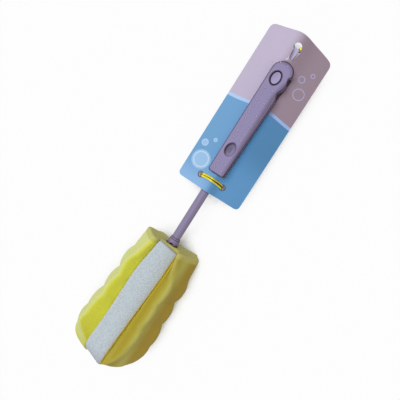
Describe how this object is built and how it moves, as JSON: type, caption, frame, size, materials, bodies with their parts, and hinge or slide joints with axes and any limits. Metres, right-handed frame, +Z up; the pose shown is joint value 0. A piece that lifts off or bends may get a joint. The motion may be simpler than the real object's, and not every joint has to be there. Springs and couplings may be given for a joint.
{
  "type": "sponge bottle brush",
  "caption": "Bottle brush: a wavy foam head with a scrub strip pulls off a barbed fork on a thin shaft; slim dotted grip with hanging eye, in a die-cut hang card held by ribbon ties.",
  "frame": {"origin": "under the middle of the whole brush, on the surface that it lies on", "axes": "+X along the handle towards the hanging eye, +Z up out of the grip's dotted face, +Y to the left when the grip points away"},
  "size_m": [0.3502, 0.0758, 0.034],
  "materials": {
    "shaft_lilac": "satin moulded plastic",
    "clip_lilac": "satin moulded plastic",
    "grip_lilac": "matte moulded plastic",
    "inlay_lilac": "matte moulded plastic",
    "foam_yellow": "fine-pored foam",
    "scrub_white": "coarse open-cell foam",
    "card_print": "coated printed card",
    "tie_gold": "metallised plastic ribbon"
  },
  "bodies": {
    "handle": {"shaft": "shaft_lilac", "fork_clip": "clip_lilac", "grip_front_shell": "grip_lilac", "grip_back_shell": "grip_lilac", "thumb_inlay": "inlay_lilac", "hang_card": "card_print", "lower_twist_tie": "tie_gold", "upper_twist_tie": "tie_gold"},
    "head": {"foam_head": "foam_yellow", "scrub_strip": "scrub_white"}
  },
  "joints": [
    {"name": "head_pull", "type": "slide", "parent": "handle", "child": "head", "axis": [-1, 0, 0], "range_m": [0, 0.075]}
  ]
}
